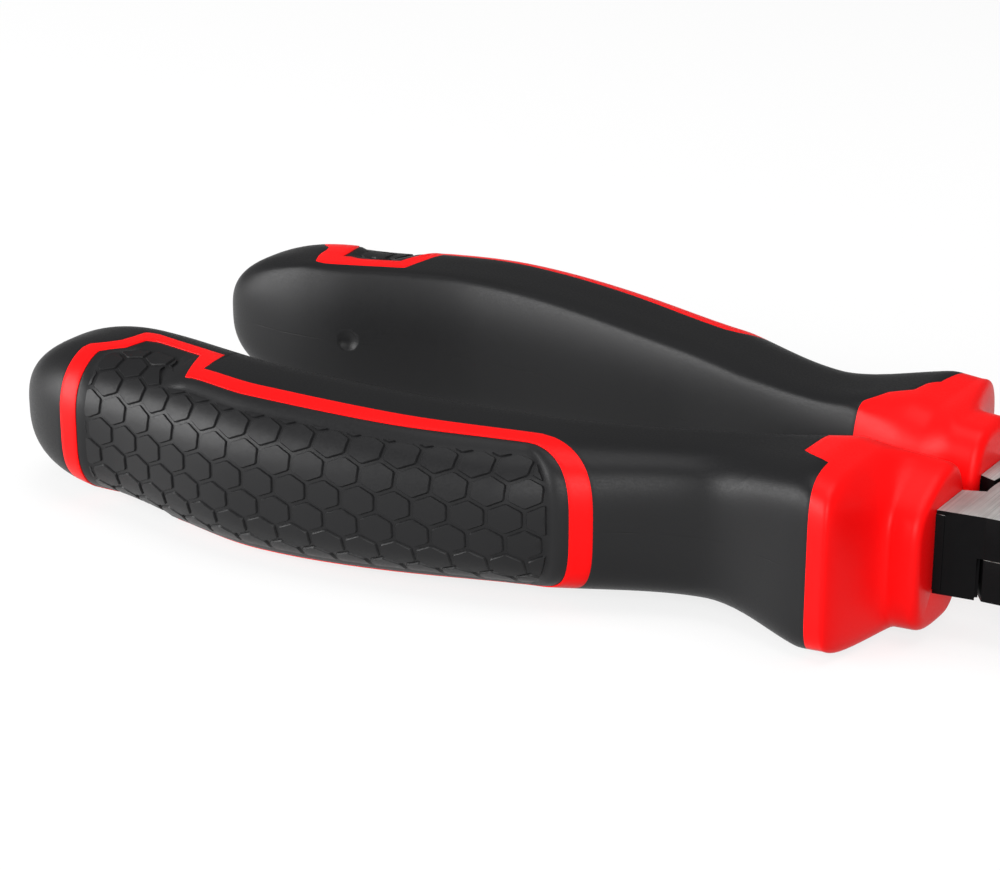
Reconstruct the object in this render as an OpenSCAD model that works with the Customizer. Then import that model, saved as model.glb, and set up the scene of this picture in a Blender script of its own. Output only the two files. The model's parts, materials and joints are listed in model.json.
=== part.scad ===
// Lineman pliers with two-colour moulded grips, closed and lying flat.
// +X points from the grips to the nose, +Z runs along the pivot axis. Sizes are millimetres.
// Stations along a grip are distances behind the pivot; "inner" and "outer" are distances
// from the closing plane of the jaws.

/* [Head] */
// Reach of the jaws ahead of the pivot
jaw_reach = 55.1; // [48:0.1:60]
// Thickness of the steel across the joint
steel_t = 10.3; // [9:0.1:12]
// Thickness of the jaws at the nose
nose_t = 8.4; // [7:0.1:9]
// Half width of the head at its waist behind the joint
waist_half = 9; // [8.6:0.1:10]
// Half width of the head across the pivot
joint_half = 11.2; // [10.5:0.1:12.5]
// Half width of the jaws at their widest
jaw_half = 12.6; // [11.5:0.1:14]
// Half width of the jaws where the teeth start
teeth_half = 11.1; // [10:0.1:12.5]
// Half width of the nose
nose_half = 7.6; // [6.5:0.1:9]
// Radius of the outer corners of the nose
nose_corner = 2.6; // [1:0.1:4]
// Where the gripping teeth start ahead of the pivot
teeth_start = 31; // [27:0.5:38]
// Spacing of the gripping teeth
tooth_pitch = 1.5; // [1:0.1:2.5]
// Depth of the gripping teeth
tooth_depth = 0.5; // [0.2:0.05:0.8]
// How far the cutter bevels run back from the cutting edge
cutter_bevel = 3.4; // [2:0.1:4.5]
// Length of the plain land between the cutters and the teeth
cutter_land = 1.2; // [0.5:0.1:3]

/* [Joint] */
// Radius of the lap that each half turns in
lap_r = 14.8; // [14:0.1:15.6]
// Radius of the rivet's shaft
rivet_r = 4.6; // [3.5:0.1:5.5]
// Radius of the rivet's flush heads
rivet_head_r = 6.2; // [6:0.1:7.5]
// Running clearance of the rivet in the half that turns on it
rivet_play = 0.05; // [0.02:0.01:0.1]
// Clearance of the rivet in the half that holds it
rivet_fit = 0.01; // [0.005:0.005:0.02]
// Gap between the two lap faces
lap_gap = 0.08; // [0.04:0.01:0.2]
// Gap between the closed jaws
jaw_gap = 0.1; // [0.06:0.01:0.2]
// Clearance round the edge of each lap
lap_clearance = 0.7; // [0.3:0.05:1]

/* [Shank and tang] */
// Inner edge of the shank beside the lap
shank_inner = 1.7; // [1.5:0.1:2.5]
// Inner edge of the shank inside the guard
shank_seat = 2.75; // [2.6:0.05:3.5]
// Outer edge of the shank inside the guard
shank_outer = 9.9; // [9.4:0.1:10.6]
// Wall of the guard between the shank's shoulder and the core
shoulder_wall = 1.2; // [0.6:0.1:2]
// Width of the tang
tang_w = 4.9; // [4:0.1:5.2]
// Thickness of the tang and of the shank's seat inside the guard
tang_t = 9.3; // [7:0.1:9.8]
// Where the tang ends
tang_end = 118; // [100:1:122]
// Clearance of the tang and shank in the mouldings
tang_fit = 0.05; // [0.02:0.01:0.15]

/* [Grip outline] */
// Reach of the grips behind the pivot
grip_reach = 139.9; // [136:0.1:146]
// Guard collar: distance behind the pivot, inner edge, outer edge, half height
collar = [17.4, 1.2, 14.5, 9.1]; // [0:0.1:160]
// Groove behind the collar: distance behind the pivot, inner edge, outer edge, half height
groove = [21.8, 1.3, 14.4, 9.4]; // [0:0.1:160]
// Front of the guard's flange: distance behind the pivot, inner edge, outer edge, half height
flange_front = [24.2, 1.6, 23.8, 10.5]; // [0:0.1:160]
// Back of the guard's flange: distance behind the pivot, inner edge, outer edge, half height
flange_back = [28.6, 2.2, 23, 11.2]; // [0:0.1:160]
// Neck behind the guard: distance behind the pivot, inner edge, outer edge, half height
neck = [42, 5.4, 20.7, 9.4]; // [0:0.1:160]
// Rise to the palm: distance behind the pivot, inner edge, outer edge, half height
rise = [65, 13.2, 31.7, 9.6]; // [0:0.1:160]
// Palm swell: distance behind the pivot, inner edge, outer edge, half height
palm = [97, 18, 37, 10.8]; // [0:0.1:160]
// Start of the rounded end: distance behind the pivot, inner edge, outer edge, half height
tail = [122, 13.4, 33.3, 10.1]; // [0:0.1:160]
// Distance of the grip's end point from the closing plane
tip_outer = 20.7; // [18:0.1:24]

/* [Grip mouldings] */
// Thickness of the sleeve, the guard's skirt, the border and the palm panel
skin_t = 2.2; // [1.6:0.1:2.6]
// Length of the guard's solid front, back to the seat of the core
guard_front = 5.8; // [5.2:0.1:6.2]
// Radius of the guard's front edge
guard_edge = 1.2; // [0.5:0.1:1.3]
// Seam of guard and sleeve at the outer face: distance behind the pivot
seam_outer = 27; // [26.4:0.1:28]
// Seam of guard and sleeve in the notch beside the tooth: distance behind the pivot
seam_notch = 27.8; // [27:0.1:29]
// Seam of guard and sleeve at the tooth: distance behind the pivot
seam_tooth = 32.2; // [30:0.1:33.5]
// Distance of the tooth's tip outside the middle of the section
tooth_side = 4; // [2:0.1:5]
// Seam of guard and sleeve at the inner face: distance behind the pivot
seam_inner = 34.6; // [33.8:0.1:37]
// Front corner of the border: distance behind the pivot, distance from the closing plane
border_front = [62, 22.7]; // [0:0.1:160]
// Rise of the border's long side: distance behind the pivot, distance from the closing plane
border_rise = [80, 27.6]; // [0:0.1:160]
// Middle of the border's long side: distance behind the pivot, distance from the closing plane
border_middle = [98, 29.5]; // [0:0.1:160]
// Notch in the border's long side: distance behind the pivot, distance from the closing plane
border_notch = [107.8, 28.1]; // [0:0.1:160]
// Rear corner of the border: distance behind the pivot, distance from the closing plane
border_rear = [123.4, 19.4]; // [0:0.1:160]
// Length over which the border's outer edge steps inwards at the notch
notch_run = 0.7; // [0.3:0.1:0.9]
// How far the border steps inwards at the notch
notch_step = 5.2; // [2:0.1:6]
// How far behind the outer edge's step the panel's step starts
notch_back = 1.1; // [1:0.1:2]
// Length over which the panel's edge steps inwards at the notch
notch_slant = 2.4; // [0.5:0.1:3]
// Width of the border along its long sides, before the notch
border_w = 2.3; // [1.5:0.1:3]
// Width of the border behind the notch
border_tail_w = 2; // [1.5:0.1:3]
// Width of the border across its front end
border_front_w = 2.4; // [2:0.1:5]
// Width of the border across its rear end
border_rear_w = 3; // [1.5:0.1:4]
// How far the border's front end bows towards the head
front_bow = 8.9; // [3:0.1:11]
// How far the border's rear end stands out past its shoulders
rear_bow = 5; // [2:0.1:7]

/* [Hidden] */
$fn = 64;

red = [0.93, 0.07, 0.07];
black_rubber = [0.13, 0.13, 0.14];
panel_rubber = [0.18, 0.18, 0.19];
core_red = [0.75, 0.1, 0.1];
steel = [0.62, 0.62, 0.63];

// A little more than nothing, so that cuts run clear of the faces they open
over = 1;
// Share of a section's width that lies inside its centre line
inner_share = 0.4;
// Squareness of the inner side, and of the outer side along the grip
inner_square = 3;
grip_square = 2.8;
neck_square = 3.8;
guard_square = 6;
collar_square = 3.6;
// Roundness of the grip's end, and how late its middle leans to the tip
tip_round = 2.3;
tip_lean = 1.5;
// Roundness of the border's front end, and how far behind its corner the panel's corner lies
front_round = 0.6;
corner_step = 0.4;
// Shape of the border's rear end: shares of the way to its corner, and of its bow there
rear_shape = [[0, 0.86], [0.5, 0.95], [0.7, 1], [0.78, 1], [0.85, 0.25], [1, 0]];
// Shares of the way round the back between which the seam bends from the inner face to the tooth
seam_bend = [0.5, 0.85];
// Cells of the grip's skin
panel_shares = [0, 0.22, 0.42, 0.6, 0.77, 0.87, 1];
panel_columns = 2 * (len(panel_shares) - 1);
back_columns = 14;
front_rows = 8;
panel_counts = [10, 1, 1, 1, 2];
tip_rows = 5;
columns = panel_columns + 2 + back_columns;

// A smooth curve through stations: each is a distance and the values there

function station_slope(stations, k, value) =
    let (a = max(k - 1, 0), b = min(k + 1, len(stations) - 1))
    (stations[b][value] - stations[a][value]) / (stations[b][0] - stations[a][0]);

function segment_of(stations, at, k = 0) =
    k >= len(stations) - 2 || at < stations[k + 1][0] ? k : segment_of(stations, at, k + 1);

function curve(stations, at, value = 1) =
    let (
        k = segment_of(stations, at),
        run = stations[k + 1][0] - stations[k][0],
        u = min(max((at - stations[k][0]) / run, 0), 1)
    )
    (1 + u * u * (2 * u - 3)) * stations[k][value]
    + u * (1 - u) * (1 - u) * run * station_slope(stations, k, value)
    + u * u * (3 - 2 * u) * stations[k + 1][value]
    + u * u * (u - 1) * run * station_slope(stations, k + 1, value);

function mix(a, b, share) = a + (b - a) * share;

function smooth(share) =
    let (u = min(max(share, 0), 1))
    u * u * (3 - 2 * u);

function signed_power(v, e) = sign(v) * pow(abs(v), e);

function reverse(list) = [for (k = [len(list) - 1 : -1 : 0]) list[k]];

// The grip's section at one station

guard_stations = [collar, groove, flange_front, flange_back];
grip_stations = [flange_back, neck, rise, palm, tail];

function in_guard(at) = at < flange_back[0];

function outline(at, value) =
    in_guard(at)
        ? lookup(at, [for (station = guard_stations) [station[0], station[value]]])
        : curve(grip_stations, min(at, tail[0]), value);

// How square the outer side is: boxy at the guard's flange, rounder before and behind it
function outer_square(at) =
    lookup(at, [
        [groove[0], collar_square],
        [flange_front[0], guard_square],
        [flange_back[0], guard_square],
        [neck[0], neck_square],
        [rise[0], grip_square]
    ]);

function centre_at(at) = mix(outline(at, 1), outline(at, 2), inner_share);

// A point of the grip's skin, or of a surface that lies "inset" under it.
// The angle is 0 at the outer face, 90 on top and 180 at the inner face.
function skin_point(at, angle, inset = 0) =
    let (
        into_tip = min(max((at - tail[0]) / (grip_reach - tail[0]), 0), 1),
        depth = at - inset * into_tip,
        shrink = pow(1 - pow(into_tip, tip_round), 1 / tip_round),
        centre = mix(centre_at(at), tip_outer, pow(into_tip, tip_lean)),
        outwards = cos(angle) >= 0,
        square = outwards ? outer_square(at) : inner_square,
        half_w = outwards ? outline(at, 2) - centre_at(at) : centre_at(at) - outline(at, 1),
        across = (half_w - inset) * shrink * signed_power(cos(angle), 2 / square),
        up = (outline(at, 3) - inset) * shrink * signed_power(sin(angle), 2 / square)
    )
    [-depth, centre + across, up];

// The angle at which the skin is a given distance from the closing plane, on top
function angle_at(at, distance) =
    let (centre = centre_at(at), outwards = distance >= centre)
    outwards
        ? acos(pow((distance - centre) / (outline(at, 2) - centre), outer_square(at) / 2))
        : 180 - acos(pow((centre - distance) / (centre - outline(at, 1)), inner_square / 2));

// The border's long side, as seen from above: it starts at the guard's tooth

notch_end = border_notch[0] + notch_run;
notch_in = border_notch[0] + notch_back;
notch_in_end = notch_in + notch_slant;
border_line = [
    [seam_outer, centre_at(seam_tooth) + tooth_side],
    border_front,
    border_rise,
    border_middle,
    border_notch
];

function rim_distance(at) =
    at <= border_notch[0]
        ? curve(border_line, at)
        : lookup(at, [
            border_notch,
            [notch_end, border_notch[1] - notch_step],
            border_rear
        ]);

// The panel's edge keeps the border's width from it, and steps inwards behind its notch
function panel_distance(at) =
    at <= border_notch[0]
        ? rim_distance(at) + border_w
        : lookup(at, [
            [border_notch[0], border_notch[1] + border_w],
            [notch_in, border_notch[1] + border_w],
            [notch_in_end, rim_distance(notch_in_end) + border_tail_w],
            [border_rear[0], border_rear[1] + border_tail_w]
        ]);

// Rows of the skin: where each one crosses the border line, and how far it bows at the outer face

front_in = border_front[0] + corner_step;
rear_in = border_rear[0] - border_tail_w;
front_in_bow = front_in - border_front[0] + front_bow - border_front_w;
rear_in_bow = border_rear[0] - rear_in + rear_bow - border_rear_w;
panel_run = rear_in - front_in;

// The panel's rows are evenly spaced between the steps of the notch
panel_stops = [front_in, border_notch[0], notch_end, notch_in, notch_in_end, rear_in];
panel_bases = concat(
    [
        for (k = [0 : len(panel_counts) - 1], step = [0 : panel_counts[k] - 1])
            mix(panel_stops[k], panel_stops[k + 1], step / panel_counts[k])
    ],
    [rear_in]
);
panel_rows = len(panel_bases) - 1;

function row_base(i) =
    i <= front_rows ? mix(seam_outer, border_front[0], i / front_rows)
    : i <= front_rows + panel_rows + 1 ? panel_bases[i - front_rows - 1]
    : border_rear[0];

last_row = front_rows + panel_rows + 2;

// How far a row bows at a share of the way from the outer face to its corner: the front end is
// one round sweep, and the rear end stands out between two shoulders
function row_bow(i, turned) =
    let (
        front = pow(1 - turned * turned, front_round),
        rear = lookup(turned, rear_shape),
        share = (row_base(i) - front_in) / panel_run
    )
    i <= front_rows ? -front_bow * front
    : i < last_row ? mix(-front_in_bow * front, rear_in_bow * rear, share)
    : rear_bow * rear;

rows = last_row + tip_rows;

function rim_angle(i) = angle_at(row_base(i), rim_distance(row_base(i)));

function panel_angle(i) = angle_at(row_base(i), panel_distance(row_base(i)));

// The angle of a column in a row: the panel's columns first, then over the back of the grip
function column_angle(i, j) =
    let (
        row = min(i, last_row),
        half = panel_columns / 2,
        rim = rim_angle(row),
        edge = panel_angle(row),
        k = j - half,
        back = j - panel_columns - 1
    )
    j <= panel_columns ? edge * sign(k) * panel_shares[abs(k)]
    : mix(rim, 360 - rim, back / back_columns);

// The seam of guard and sleeve steps back to a tooth on the top and bottom faces
function seam_at(j) =
    let (
        half = panel_columns / 2,
        from_outer = panel_shares[abs(j - half)],
        round_back = abs(j - panel_columns - 1 - back_columns / 2) / (back_columns / 2)
    )
    j <= panel_columns
        ? mix(seam_outer, seam_notch, from_outer * from_outer)
        : mix(seam_inner, seam_tooth, smooth((round_back - seam_bend[0]) / (seam_bend[1] - seam_bend[0])));

// Where a column crosses a row, as a distance behind the pivot
function crossing(i, j) =
    let (
        row = min(i, last_row),
        angle = column_angle(i, j),
        turned = angle > 180 ? 360 - angle : abs(angle),
        corner = row > front_rows && row < last_row ? panel_angle(row) : rim_angle(row),
        bow = row_bow(row, min(turned / corner, 1)),
        swing = 90 * (i - last_row) / (tip_rows + 0.5)
    )
    i == 0 ? seam_at(j)
    : i < front_rows ? mix(seam_at(j), border_front[0] + bow, i / front_rows)
    : i <= last_row ? row_base(i) + bow
    : mix(border_rear[0] + bow, grip_reach, sin(swing));

function grid_point(i, j, inset) =
    skin_point(crossing(i, j), column_angle(i, j), inset);

function grid_ring(i, inset) = [for (j = [0 : columns - 1]) grid_point(i, j, inset)];

skin_rings = [for (i = [0 : rows]) grid_ring(i, 0)];
under_rings = [for (i = [0 : rows]) grid_ring(i, skin_t)];
skin_tip = [-grip_reach, tip_outer, 0];
under_tip = [skin_t - grip_reach, tip_outer, 0];

// Which piece a cell of the skin belongs to

function zone(i, j) =
    let (
        in_length = i > front_rows && i < last_row - 1,
        in_frame = i >= front_rows && i < last_row,
        on_panel = j < panel_columns,
        on_rim = j == panel_columns || j == columns - 1
    )
    in_length && on_panel ? "panel"
    : in_frame && (on_panel || on_rim) ? "border"
    : "sleeve";

// A piece of the skin: its cells on the skin and under it, with walls round their edge

module skin_piece(name) {
    count = (rows + 1) * columns;
    points = concat([for (ring = skin_rings) each ring], [for (ring = under_rings) each ring],
                    [skin_tip, under_tip]);
    tip_fan = [for (j = [0 : columns - 1]) if (name == "sleeve") each fan_faces(j, count)];
    cells = [
        for (i = [0 : rows - 1], j = [0 : columns - 1])
            if (zone(i, j) == name) each cell_faces(i, j, count, name)
    ];
    polyhedron(points, concat(cells, tip_fan));
}

function spot(i, j) = i * columns + j % columns;

function fan_faces(j, count) = [
    [spot(rows, j), spot(rows, j + 1), 2 * count],
    [count + spot(rows, j + 1), count + spot(rows, j), 2 * count + 1]
];

// A wall and the wall of the neighbour it meets, split along the same diagonal
function wall(a, b, count) = [[a, b, count + b], [a, count + b, count + a]];
function facing_wall(b, a, count) = [[b, a, count + b], [a, count + a, count + b]];

function cell_faces(i, j, count, name) =
    let (
        a = spot(i, j),
        b = spot(i, j + 1),
        c = spot(i + 1, j + 1),
        d = spot(i + 1, j),
        before = (j + columns - 1) % columns,
        after = (j + 1) % columns
    )
    concat(
        [[a, b, c], [a, c, d]],
        [[count + a, count + c, count + b], [count + a, count + d, count + c]],
        i == 0 || zone(i - 1, j) != name ? facing_wall(b, a, count) : [],
        i < rows - 1 && zone(i + 1, j) != name ? wall(d, c, count) : [],
        zone(i, before) != name ? wall(a, d, count) : [],
        zone(i, after) != name ? facing_wall(c, b, count) : []
    );

// A closed solid through rings of the same count of points, with a tip at each end.
// Strips from "facing" on are split as the neighbour that they meet splits them.

module ring_solid(rings, first_tip, last_tip, facing = undef) {
    size = len(rings[0]);
    last = len(rings) - 1;
    turned = is_undef(facing) ? last : facing;
    points = concat([for (ring = rings) each ring], [first_tip, last_tip]);
    sides = [
        for (i = [0 : last - 1], j = [0 : size - 1])
            let (a = i * size + j, b = i * size + (j + 1) % size)
            each i < turned
                ? [[a, b, b + size], [a, b + size, a + size]]
                : [[a, b, a + size], [b, b + size, a + size]]
    ];
    first_end = [for (j = [0 : size - 1]) [(j + 1) % size, j, len(points) - 2]];
    last_end = [
        for (j = [0 : size - 1])
            [last * size + j, last * size + (j + 1) % size, len(points) - 1]
    ];
    polyhedron(points, concat(first_end, sides, last_end));
}

// Rings across the guard, square to the grip, with the columns of the seam

function guard_ring(at, inset, share = 0) =
    [
        for (j = [0 : columns - 1])
            skin_point(mix(at, seam_at(j), share), column_angle(0, j), inset)
    ];

function section_centre(at) = [-at, centre_at(at), 0];

core_front = collar[0] + guard_front;

// The core fills the skin from the guard's seat to the tip
core_rings = concat([guard_ring(core_front, skin_t)], under_rings);

guard_rings = concat(
    [guard_ring(collar[0], guard_edge)],
    [
        for (a = [30 : 30 : 90])
            guard_ring(collar[0] + guard_edge * (1 - cos(a)), guard_edge * (1 - sin(a)))
    ],
    [guard_ring(groove[0], 0), guard_ring(flange_front[0], 0), guard_ring(seam_outer - over, 0)],
    [guard_ring(seam_outer, 0, 1), guard_ring(seam_outer, skin_t, 1)],
    [guard_ring(core_front, skin_t)]
);

// Plan outlines of the steel

head_stations = [
    [-collar[0], shank_outer],
    [-lap_r / 2 - over, waist_half],
    [0, joint_half],
    [lap_r, jaw_half],
    [teeth_start, teeth_half],
    [jaw_reach, nose_half]
];
head_step = 3;

function head_half(x) = curve(head_stations, x);

// The head's outer side from one end to the other, on the side that "side" gives
function head_side(from, to, side) =
    let (count = ceil((to - from) / head_step))
    [for (k = [0 : count]) let (x = mix(from, to, k / count)) [x, side * head_half(x)]];

module head_plan() {
    polygon(concat(head_side(-lap_r, lap_r, 1), reverse(head_side(-lap_r, lap_r, -1))));
}

tooth_count = floor((jaw_reach - nose_corner - teeth_start) / tooth_pitch);
// Share of the tooth pitch that each of a tooth's two flanks takes up
tooth_flank = 0.4;

// One jaw, on the closing plane's -Y side: the outer side, the rounded nose and the teeth
module jaw_plan() {
    face = -jaw_gap / 2;
    nose_at = jaw_reach - nose_corner;
    corner = head_half(nose_at) - nose_corner;
    polygon(concat(
        [[0, face]],
        head_side(0, nose_at, -1),
        [for (a = [75 : -15 : 0]) [nose_at + nose_corner * cos(a), -corner - nose_corner * sin(a)]],
        [[jaw_reach, face]],
        [
            for (k = [tooth_count - 1 : -1 : 0])
                let (root = teeth_start + (k + 0.5) * tooth_pitch, flank = tooth_flank * tooth_pitch)
                each [[root + flank, face], [root, face - tooth_depth], [root - flank, face]]
        ]
    ));
}

// The shank at the full thickness of the head, from the joint to the guard's front face
shank_front = collar[0] - tang_fit;
shank_end = core_front - shoulder_wall;

module shank_plan() {
    polygon(concat(
        [[-shank_front, shank_seat], [-lap_r, shank_inner], [0, shank_inner]],
        reverse(head_side(-shank_front, 0, 1))
    ));
}

// The shank's thinner seat inside the guard, back to the shoulder where the tang starts
module seat_plan(grow = 0) {
    translate([-shank_end - grow, shank_seat - grow])
        square([shank_end + grow - shank_front + over, shank_outer - shank_seat + 2 * grow]);
}

// The tang leaves the shank flush with its outer edge and runs into the middle of the grip
tang_stops = 14;
tang_start = shank_end - over;

function tang_middle(at) =
    let (
        start = shank_outer - tang_w / 2,
        share = min((at - tang_start) / (rise[0] - tang_start), 1)
    )
    mix(start, (outline(at, 1) + outline(at, 2)) / 2, share * (2 - share));

module tang_plan(grow = 0) {
    stops = [for (k = [0 : tang_stops]) mix(tang_start, tang_end, k / tang_stops)];
    half = tang_w / 2 + grow;
    polygon(concat(
        [for (at = stops) [-at, tang_middle(at) + half]],
        [[-tang_end - grow, tang_middle(tang_end) + half]],
        [[-tang_end - grow, tang_middle(tang_end) - half]],
        [for (at = reverse(stops)) [-at, tang_middle(at) - half]]
    ));
}

module plate(height) {
    linear_extrude(height, center = true) children();
}

// The rivet with its flush conical heads, grown all round by a clearance and lengthened at both ends
module rivet_shape(grow = 0, past = 0) {
    end = steel_t / 2 + past;
    head = rivet_head_r + grow + past;
    shaft = rivet_r + grow;
    neck_z = steel_t / 2 - (rivet_head_r - rivet_r);
    rotate_extrude()
        polygon([[0, -end], [head, -end], [shaft, -neck_z], [shaft, neck_z], [head, end], [0, end]]);
}

// A wedge that takes the jaw's face down to the nose
module nose_wedge() {
    drop = (steel_t - nose_t) / 2;
    rotate([90, 0, 0])
        linear_extrude(2 * jaw_half + 2 * over, center = true)
            polygon([
                [lap_r + over, steel_t / 2],
                [jaw_reach + over, steel_t / 2 - drop],
                [jaw_reach + over, steel_t],
                [lap_r + over, steel_t]
            ]);
}

// A bevel of the cutter: it falls away from the cutting edge on the middle plane
module cutter_cut() {
    face = -jaw_gap / 2;
    from = lap_r + lap_clearance;
    to = teeth_start - cutter_land;
    translate([to, 0, 0])
        rotate([0, -90, 0])
            linear_extrude(to - from)
                polygon([[0, face], [steel_t, face - 2 * cutter_bevel], [steel_t, over], [0, over]]);
}

// One steel half: its grip on +Y, its jaw on -Y and its lap underneath
module plier_half(rivet_room) {
    difference() {
        union() {
            intersection() {
                cylinder(r = lap_r, h = steel_t, center = true);
                plate(steel_t) head_plan();
            }
            plate(steel_t) jaw_plan();
            plate(steel_t) shank_plan();
            plate(tang_t) seat_plan();
            plate(tang_t) tang_plan();
        }
        translate([0, 0, -lap_gap / 2]) cylinder(r = lap_r + lap_clearance, h = steel_t);
        rivet_shape(rivet_room, over);
        nose_wedge();
        mirror([0, 0, 1]) nose_wedge();
        cutter_cut();
        mirror([0, 0, 1]) cutter_cut();
    }
}

module grip_core() {
    difference() {
        ring_solid(core_rings, section_centre(core_front), under_tip);
        plate(tang_t + 2 * tang_fit) tang_plan(tang_fit);
    }
}

module hand_guard() {
    difference() {
        ring_solid(guard_rings, section_centre(collar[0]), section_centre(core_front), len(guard_rings) - 2);
        plate(tang_t + 2 * tang_fit) seat_plan(tang_fit);
        plate(tang_t + 2 * tang_fit) tang_plan(tang_fit);
    }
}

// Both halves are the same piece: the right one is the left one turned over about X

lift = [(grip_reach - jaw_reach) / 2, 0, max(flange_front[3], flange_back[3])];

module on_left() {
    translate(lift) children();
}

module on_right() {
    translate(lift) rotate([180, 0, 0]) children();
}

module pivot_rivet() { color(steel) on_left() rivet_shape(); }
module left_plier_half() { color(steel) on_left() plier_half(rivet_play); }
module left_grip_core() { color(core_red) on_left() grip_core(); }
module left_hand_guard() { color(red) on_left() hand_guard(); }
module left_grip_sleeve() { color(black_rubber) on_left() skin_piece("sleeve"); }
module left_border_trim() { color(red) on_left() skin_piece("border"); }
module left_palm_panel() { color(panel_rubber) on_left() skin_piece("panel"); }
module right_plier_half() { color(steel) on_right() plier_half(rivet_fit); }
module right_grip_core() { color(core_red) on_right() grip_core(); }
module right_hand_guard() { color(red) on_right() hand_guard(); }
module right_grip_sleeve() { color(black_rubber) on_right() skin_piece("sleeve"); }
module right_border_trim() { color(red) on_right() skin_piece("border"); }
module right_palm_panel() { color(panel_rubber) on_right() skin_piece("panel"); }

pivot_rivet();
left_plier_half();
left_grip_core();
left_hand_guard();
left_grip_sleeve();
left_border_trim();
left_palm_panel();
right_plier_half();
right_grip_core();
right_hand_guard();
right_grip_sleeve();
right_border_trim();
right_palm_panel();
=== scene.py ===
import json
import math

import bpy
import numpy as np
from mathutils import Matrix, Vector


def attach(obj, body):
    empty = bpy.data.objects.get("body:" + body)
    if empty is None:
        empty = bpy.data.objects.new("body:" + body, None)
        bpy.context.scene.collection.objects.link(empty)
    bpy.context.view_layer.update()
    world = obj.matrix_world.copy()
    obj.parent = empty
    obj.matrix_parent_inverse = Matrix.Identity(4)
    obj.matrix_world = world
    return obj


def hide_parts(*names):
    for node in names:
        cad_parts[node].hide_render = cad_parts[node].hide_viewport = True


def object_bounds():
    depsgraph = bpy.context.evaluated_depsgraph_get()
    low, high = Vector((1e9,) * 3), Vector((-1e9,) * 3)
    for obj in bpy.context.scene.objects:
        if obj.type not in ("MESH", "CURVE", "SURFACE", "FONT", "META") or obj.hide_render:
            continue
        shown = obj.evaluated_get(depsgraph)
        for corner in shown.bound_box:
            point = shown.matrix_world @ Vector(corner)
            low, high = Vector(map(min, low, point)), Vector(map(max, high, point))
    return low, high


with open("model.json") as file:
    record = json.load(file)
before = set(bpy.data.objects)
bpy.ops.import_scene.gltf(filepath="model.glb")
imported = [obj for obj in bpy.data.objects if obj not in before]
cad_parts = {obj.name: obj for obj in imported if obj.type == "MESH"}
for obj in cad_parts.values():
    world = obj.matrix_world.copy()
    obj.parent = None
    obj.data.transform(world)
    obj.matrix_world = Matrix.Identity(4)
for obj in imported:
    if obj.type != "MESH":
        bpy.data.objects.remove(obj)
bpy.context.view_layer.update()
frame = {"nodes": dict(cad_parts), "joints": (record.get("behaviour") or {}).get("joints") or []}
mm = 0.001
weldGap = 2e-6             # metres within which a mesh's corners are merged
pivot = Vector(frame["joints"][0]["pos_m"])
print("frame loaded with", len(frame["nodes"]), "nodes")

bpy.context.scene.view_settings.view_transform = "Standard"

# Camera, at the photograph's angle
cameraView = {
    "place": (0.13563, -0.2768, 0.13378),
    "turn": (69.16, 0.0, 32.363),
    "lens": 97.87,
    "sensor": 36,
    "near": 0.01,
}
bpy.ops.object.camera_add(location=cameraView["place"],
                          rotation=[math.radians(a) for a in cameraView["turn"]])
camera = bpy.context.object
camera.data.sensor_width = cameraView["sensor"]
camera.data.lens = cameraView["lens"]
camera.data.clip_start = cameraView["near"]
bpy.context.scene.camera = camera
print("camera set")


# Small helpers

def hexColour(code):
    parts = [int(code[k:k + 2], 16) / 255 for k in (1, 3, 5)]
    return tuple(c / 12.92 if c <= 0.04045 else ((c + 0.055) / 1.055) ** 2.4 for c in parts) + (1.0,)


def addNode(tree, kind, settings=None, links=None):
    node = tree.nodes.new(kind)
    for name, value in (settings or {}).items():
        if isinstance(name, str) and hasattr(node, name):
            setattr(node, name, value)
        else:
            node.inputs[name].default_value = value
    for name, source in (links or {}).items():
        tree.links.new(source, node.inputs[name])
    return node


def startMaterial(name, settings):
    material = bpy.data.materials.new(name)
    material.use_nodes = True
    tree = material.node_tree
    tree.nodes.clear()
    output = addNode(tree, "ShaderNodeOutputMaterial")
    shader = addNode(tree, "ShaderNodeBsdfPrincipled", settings)
    tree.links.new(shader.outputs[0], output.inputs[0])
    return material, tree, shader


def onlySelect(piece):
    if bpy.context.object and bpy.context.object.mode != "OBJECT":
        bpy.ops.object.mode_set(mode="OBJECT")
    bpy.ops.object.select_all(action="DESELECT")
    piece.select_set(True)
    bpy.context.view_layer.objects.active = piece


def pickFaces(piece, wanted):
    bpy.ops.object.mode_set(mode="OBJECT")
    mesh = piece.data
    mesh.polygons.foreach_set("select", [bool(wanted(face)) for face in mesh.polygons])
    mesh.edges.foreach_set("select", [False] * len(mesh.edges))
    mesh.vertices.foreach_set("select", [False] * len(mesh.vertices))
    bpy.ops.object.mode_set(mode="EDIT")
    bpy.ops.mesh.select_mode(type="FACE")


def applyAll(piece):
    onlySelect(piece)
    for modifier in list(piece.modifiers):
        bpy.ops.object.modifier_apply(modifier=modifier.name)


def smoothShade(piece, degrees):
    onlySelect(piece)
    bpy.ops.object.shade_smooth_by_angle(angle=math.radians(degrees))


def addBevel(piece, width, degrees):
    bevel = piece.modifiers.new("edge", "BEVEL")
    bevel.width = width * mm
    bevel.segments = 2
    bevel.limit_method = "ANGLE"
    bevel.angle_limit = math.radians(degrees)


def useTool(piece, tool, operation):
    # cut a tool's shape out of a piece, or join it on; the tool is then gone
    modifier = piece.modifiers.new("tool", "BOOLEAN")
    modifier.operation = operation
    modifier.solver = "EXACT"
    modifier.object = tool
    applyAll(piece)
    bpy.data.objects.remove(tool)


def readPoints(piece):
    flat = np.empty(len(piece.data.vertices) * 3)
    piece.data.vertices.foreach_get("co", flat)
    return flat.reshape(-1, 3)


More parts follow.
